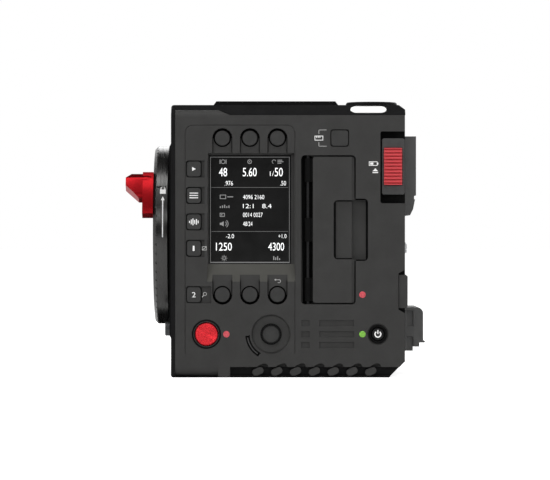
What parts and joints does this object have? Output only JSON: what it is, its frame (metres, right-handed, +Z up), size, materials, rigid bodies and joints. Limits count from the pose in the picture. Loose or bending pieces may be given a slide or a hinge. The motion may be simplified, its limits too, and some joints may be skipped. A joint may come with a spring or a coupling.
{
  "type": "digital cinema camera",
  "caption": "Box-shaped digital cinema camera body with a screen and key panel, media door, battery mount and clamping lens mount.",
  "frame": {"origin": "centre of the 3/8 inch tripod thread's mouth in the bottom face", "axes": "+Z up, lens mount towards -X, battery side towards +X, operator panel towards -Y"},
  "size_m": [0.1417, 0.1195, 0.13],
  "materials": {
    "black_paint": "fine satin black powder coat",
    "cover_paint": "fine satin dark grey powder coat",
    "key_rubber": "matte dark grey moulded keys",
    "black_plastic": "matte black plastic",
    "steel": "fine turned steel",
    "aluminium": "bead blasted aluminium",
    "red_metal": "red anodised metal",
    "grey_metal": "mid grey anodised metal",
    "screen": "clear cover glass over a lit display",
    "clear_glass": "coated filter glass",
    "sensor_die": "dark iridescent sensor face",
    "board": "green circuit board",
    "gold": "gold plated contacts",
    "red_lamp": "red lamp lens",
    "green_lamp": "green lamp lens"
  },
  "bodies": {
    "camera_body": {"chassis": "black_paint", "left_side_cover": "cover_paint", "right_side_cover": "cover_paint", "top_plate": "black_paint", "top_cap": "black_plastic", "base_plate": "black_paint", "foot_fins": "cover_paint", "front_plate": "black_paint", "mount_base": "black_paint", "mount_flange": "steel", "mount_fasteners": "steel", "lens_contacts": "black_plastic", "sensor_frame": "aluminium", "filter_glass": "clear_glass", "image_sensor": "sensor_die", "sensor_board": "board", "screen_glass": "screen", "lcd_module": "black_plastic", "record_bezel": "black_plastic", "power_bezel": "black_plastic", "red_lamps": "red_lamp", "power_lamp": "green_lamp", "dial_encoder": "steel", "key_board": "board", "door_hinge_pin": "steel", "media_cage": "aluminium", "battery_receiver": "black_paint", "battery_pad": "black_paint", "battery_contact_block": "black_plastic", "battery_contacts": "gold", "main_board": "board", "heat_sink": "aluminium", "fan_housing": "black_plastic", "side_sockets": "steel", "cover_screws": "steel"},
    "soft_key_1_body": {"soft_key_1": "key_rubber"},
    "soft_key_2_body": {"soft_key_2": "key_rubber"},
    "soft_key_3_body": {"soft_key_3": "key_rubber"},
    "soft_key_4_body": {"soft_key_4": "key_rubber"},
    "soft_key_5_body": {"soft_key_5": "key_rubber"},
    "soft_key_6_body": {"soft_key_6": "key_rubber"},
    "play_key_body": {"play_key": "key_rubber"},
    "menu_key_body": {"menu_key": "key_rubber"},
    "audio_key_body": {"audio_key": "key_rubber"},
    "user_key_1_body": {"user_key_1": "key_rubber"},
    "user_key_2_body": {"user_key_2": "key_rubber"},
    "media_key_body": {"media_key": "key_rubber"},
    "record_button_body": {"record_button": "red_metal"},
    "power_button_body": {"power_button": "black_plastic"},
    "front_record_button_body": {"front_record_button": "grey_metal"},
    "lock_ring_body": {"mount_lock_ring": "black_paint", "mount_lever": "red_metal"},
    "dial_body": {"dial_knob": "black_plastic"},
    "media_door_body": {"media_door": "cover_paint", "door_hinge": "black_plastic"},
    "cartridge_body": {"media_cartridge": "aluminium"},
    "battery_slider_body": {"battery_slider": "grey_metal", "slider_grip": "red_metal"},
    "battery_latch_body": {"battery_latch": "steel"},
    "fan_rotor_body": {"fan_rotor": "black_plastic"}
  },
  "joints": [
    {"name": "soft_key_1_body_press", "type": "slide", "parent": "camera_body", "child": "soft_key_1_body", "axis": [0, 1, 0], "range_m": [0, 0.0006], "stiffness_N_per_m": 1500},
    {"name": "soft_key_2_body_press", "type": "slide", "parent": "camera_body", "child": "soft_key_2_body", "axis": [0, 1, 0], "range_m": [0, 0.0006], "stiffness_N_per_m": 1500},
    {"name": "soft_key_3_body_press", "type": "slide", "parent": "camera_body", "child": "soft_key_3_body", "axis": [0, 1, 0], "range_m": [0, 0.0006], "stiffness_N_per_m": 1500},
    {"name": "soft_key_4_body_press", "type": "slide", "parent": "camera_body", "child": "soft_key_4_body", "axis": [0, 1, 0], "range_m": [0, 0.0006], "stiffness_N_per_m": 1500},
    {"name": "soft_key_5_body_press", "type": "slide", "parent": "camera_body", "child": "soft_key_5_body", "axis": [0, 1, 0], "range_m": [0, 0.0006], "stiffness_N_per_m": 1500},
    {"name": "soft_key_6_body_press", "type": "slide", "parent": "camera_body", "child": "soft_key_6_body", "axis": [0, 1, 0], "range_m": [0, 0.0006], "stiffness_N_per_m": 1500},
    {"name": "play_key_body_press", "type": "slide", "parent": "camera_body", "child": "play_key_body", "axis": [0, 1, 0], "range_m": [0, 0.0006], "stiffness_N_per_m": 1500},
    {"name": "menu_key_body_press", "type": "slide", "parent": "camera_body", "child": "menu_key_body", "axis": [0, 1, 0], "range_m": [0, 0.0006], "stiffness_N_per_m": 1500},
    {"name": "audio_key_body_press", "type": "slide", "parent": "camera_body", "child": "audio_key_body", "axis": [0, 1, 0], "range_m": [0, 0.0006], "stiffness_N_per_m": 1500},
    {"name": "user_key_1_body_press", "type": "slide", "parent": "camera_body", "child": "user_key_1_body", "axis": [0, 1, 0], "range_m": [0, 0.0006], "stiffness_N_per_m": 1500},
    {"name": "user_key_2_body_press", "type": "slide", "parent": "camera_body", "child": "user_key_2_body", "axis": [0, 1, 0], "range_m": [0, 0.0006], "stiffness_N_per_m": 1500},
    {"name": "media_key_body_press", "type": "slide", "parent": "camera_body", "child": "media_key_body", "axis": [0, 1, 0], "range_m": [0, 0.0006], "stiffness_N_per_m": 1500},
    {"name": "record_button_body_press", "type": "slide", "parent": "camera_body", "child": "record_button_body", "axis": [0, 1, 0], "range_m": [0, 0.0008], "stiffness_N_per_m": 1500},
    {"name": "power_button_body_press", "type": "slide", "parent": "camera_body", "child": "power_button_body", "axis": [0, 1, 0], "range_m": [0, 0.0006], "stiffness_N_per_m": 1500},
    {"name": "front_record_button_body_press", "type": "slide", "parent": "camera_body", "child": "front_record_button_body", "axis": [1, 0, 0], "range_m": [0, 0.0008], "stiffness_N_per_m": 1500},
    {"name": "lens_lock_turn", "type": "hinge", "parent": "camera_body", "child": "lock_ring_body", "pos_m": [-0.06, 0, 0.0665], "axis": [1, 0, 0], "range_deg": [0, 32]},
    {"name": "dial_turn", "type": "hinge", "parent": "camera_body", "child": "dial_body", "pos_m": [-0.008, -0.0544, 0.0202], "axis": [0, 1, 0], "continuous": true},
    {"name": "media_door_swing", "type": "hinge", "parent": "camera_body", "child": "media_door_body", "pos_m": [0.0092, -0.0541, 0.0688], "axis": [0, 0, -1], "range_deg": [0, 105]},
    {"name": "cartridge_eject", "type": "slide", "parent": "camera_body", "child": "cartridge_body", "axis": [0, -1, 0], "range_m": [0, 0.008]},
    {"name": "battery_slider_slide", "type": "slide", "parent": "camera_body", "child": "battery_slider_body", "axis": [0, 0, -1], "range_m": [0, 0.0036], "stiffness_N_per_m": 800},
    {"name": "battery_latch_slide", "type": "slide", "parent": "camera_body", "child": "battery_latch_body", "axis": [-1, 0, 0], "range_m": [0, 0.0025]},
    {"name": "fan_spin", "type": "hinge", "parent": "camera_body", "child": "fan_rotor_body", "pos_m": [-0.0104, 0.0438, 0.0665], "axis": [0, 1, 0], "continuous": true}
  ],
  "couplings": [
    {"joint": "media_door_swing", "follows": "cartridge_eject", "rad_per_m": 229.07},
    {"joint": "battery_latch_slide", "follows": "battery_slider_slide", "ratio": 0.6667}
  ]
}
